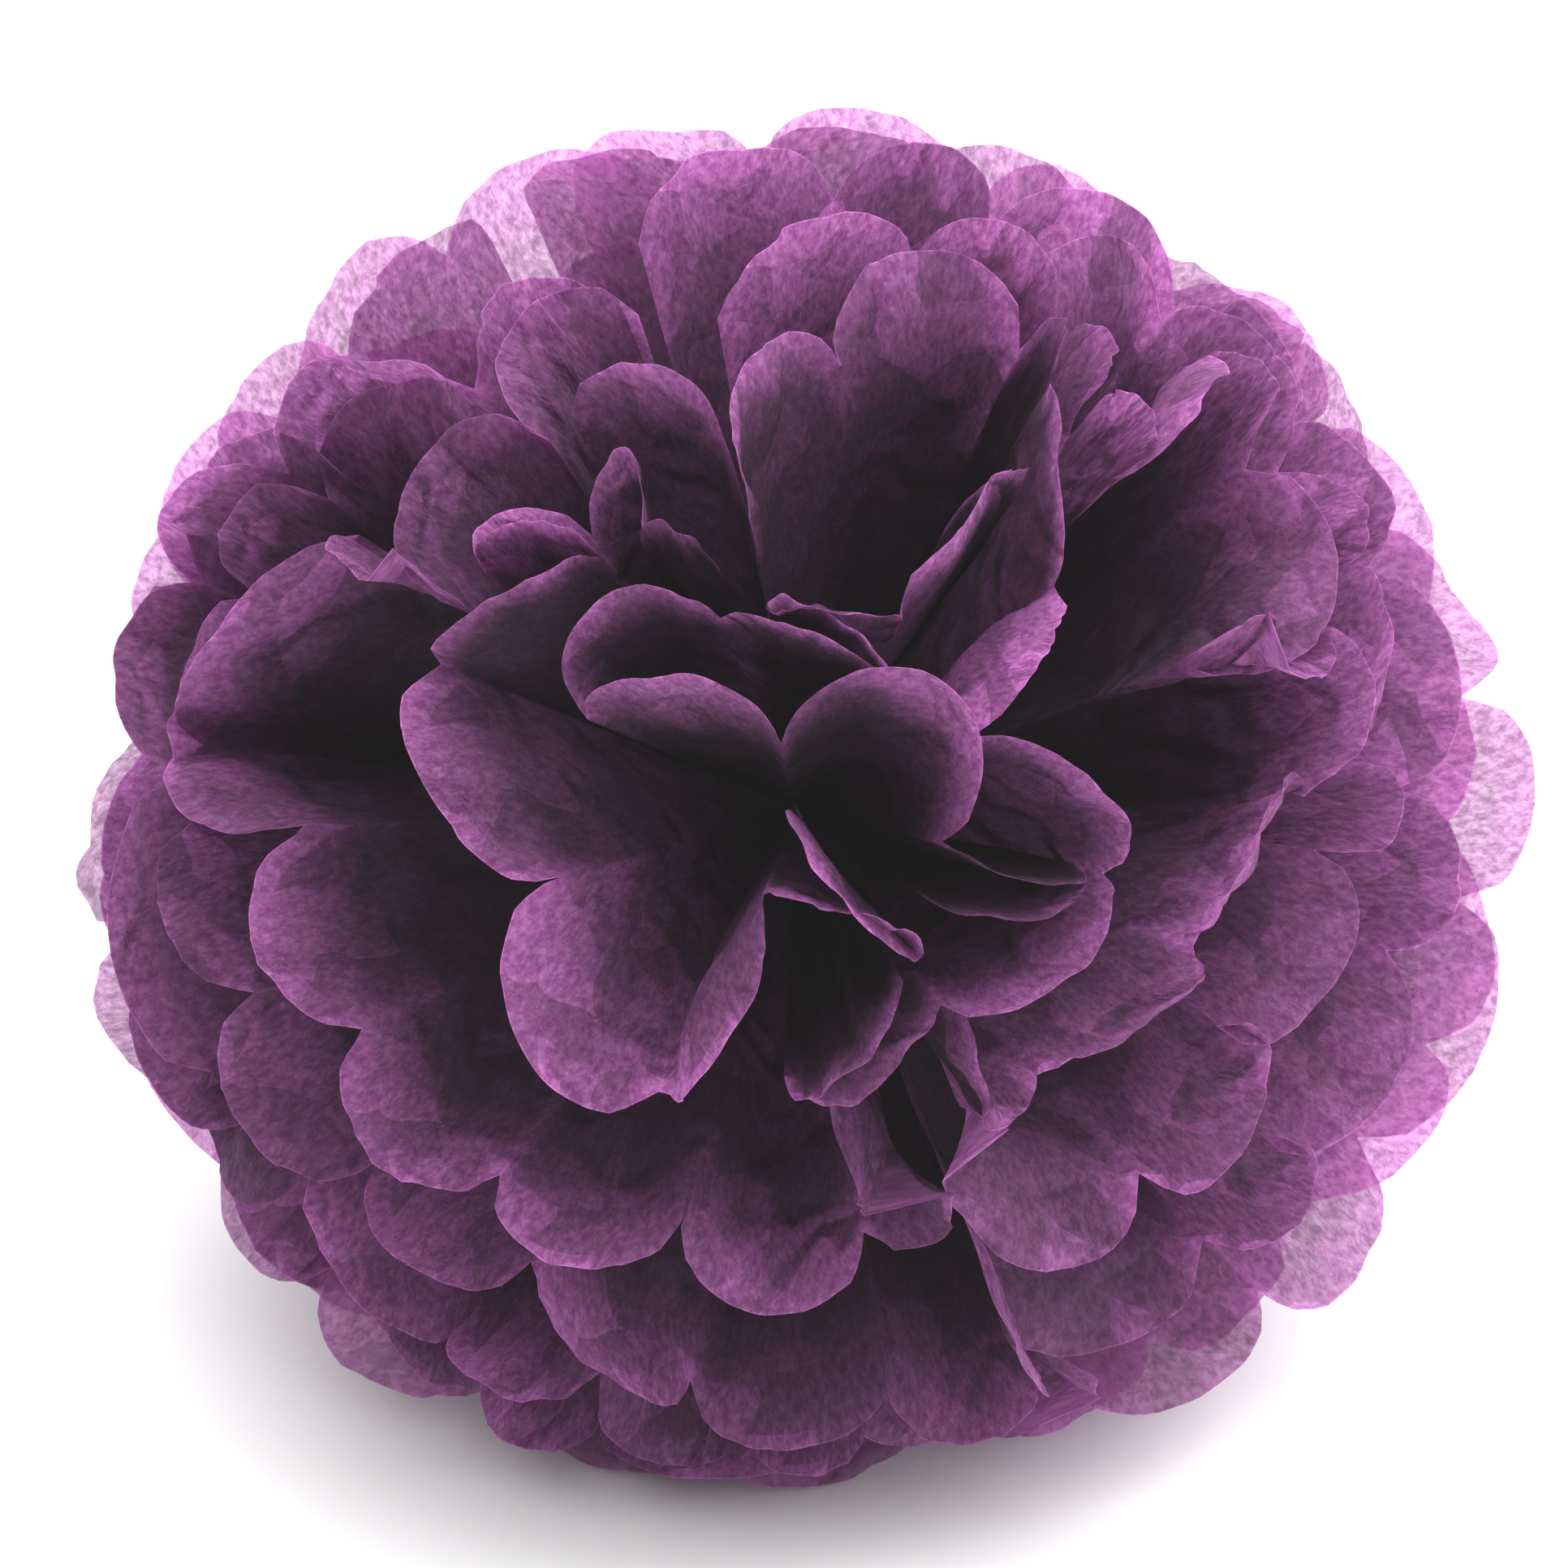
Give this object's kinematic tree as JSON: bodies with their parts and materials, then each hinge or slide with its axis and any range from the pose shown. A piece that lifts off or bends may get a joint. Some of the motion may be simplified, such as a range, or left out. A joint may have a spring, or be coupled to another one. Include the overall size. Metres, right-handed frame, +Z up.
{
  "type": "tissue paper pom pom",
  "caption": "Ball-shaped pom pom of pleated tissue paper sheets with scalloped ends, tied round the middle and opened out into rings of petals.",
  "frame": {"origin": "on the surface it rests on, below the middle of its bounding box", "axes": "+Z up; the open hollow of the front petals looks towards -Y and 30 degrees up, as the picture shows it"},
  "size_m": [0.3451, 0.3431, 0.3192],
  "materials": {
    "tissue": "matt, translucent mauve tissue with visible fibre flecks",
    "tie_wire": "plain bright wire"
  },
  "bodies": {
    "root": {"sheet_01": "tissue", "sheet_02": "tissue", "sheet_03": "tissue", "sheet_04": "tissue", "sheet_05": "tissue", "sheet_06": "tissue", "sheet_07": "tissue", "sheet_08": "tissue", "sheet_09": "tissue", "sheet_10": "tissue", "centre_tie": "tie_wire"}
  },
  "joints": []
}
